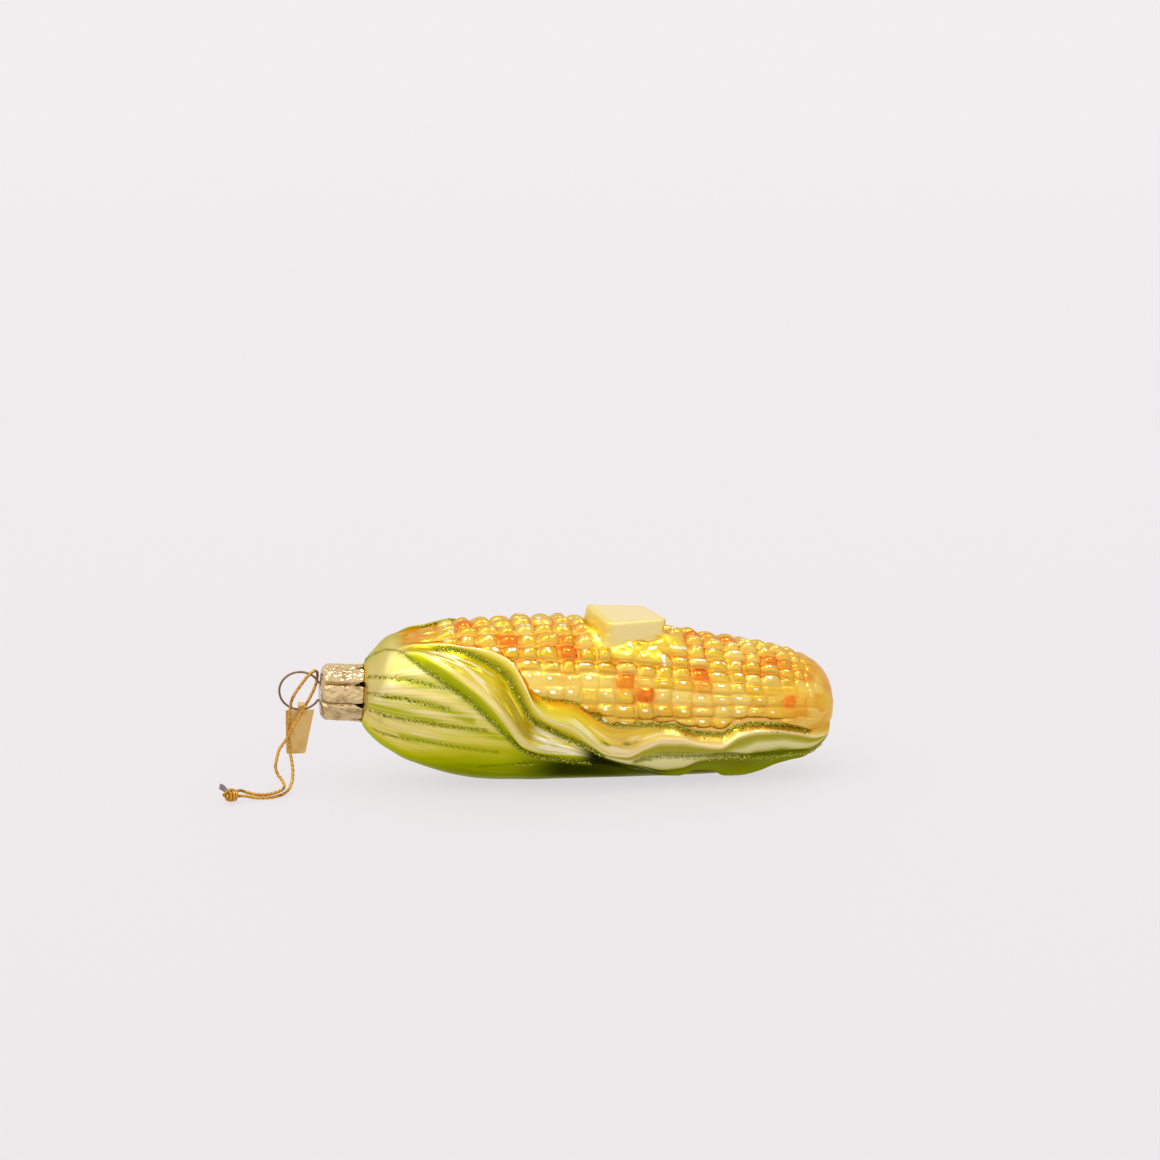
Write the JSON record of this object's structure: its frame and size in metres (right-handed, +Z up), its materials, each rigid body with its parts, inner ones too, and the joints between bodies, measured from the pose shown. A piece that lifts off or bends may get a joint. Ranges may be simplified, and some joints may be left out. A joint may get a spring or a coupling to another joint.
{
  "type": "glass corn cob ornament",
  "caption": "Hollow blown-glass hanging ornament shaped as an ear of corn in its husk with a pat of butter, with a fluted metal cap, wire loop, hooked tag and knotted cord.",
  "frame": {"origin": "middle of the surface it lies on, under the ornament without its cord", "axes": "+X from the hanger to the ear's tip, +Z up, -Y the side the husk's wide fold shows on"},
  "size_m": [0.1551, 0.0448, 0.0427],
  "materials": {
    "lacquered_glass": "silvered inside, lacquered outside, gloss",
    "cap_metal": "gilt tinplate, embossed",
    "wire": "bronzed spring wire",
    "tag_metal": "satin",
    "cord": "metallic thread"
  },
  "bodies": {
    "root": {"glass_body": "lacquered_glass", "cap": "cap_metal", "hanger_wire": "wire", "tag": "tag_metal", "cord": "cord", "knot": "cord"}
  },
  "joints": []
}
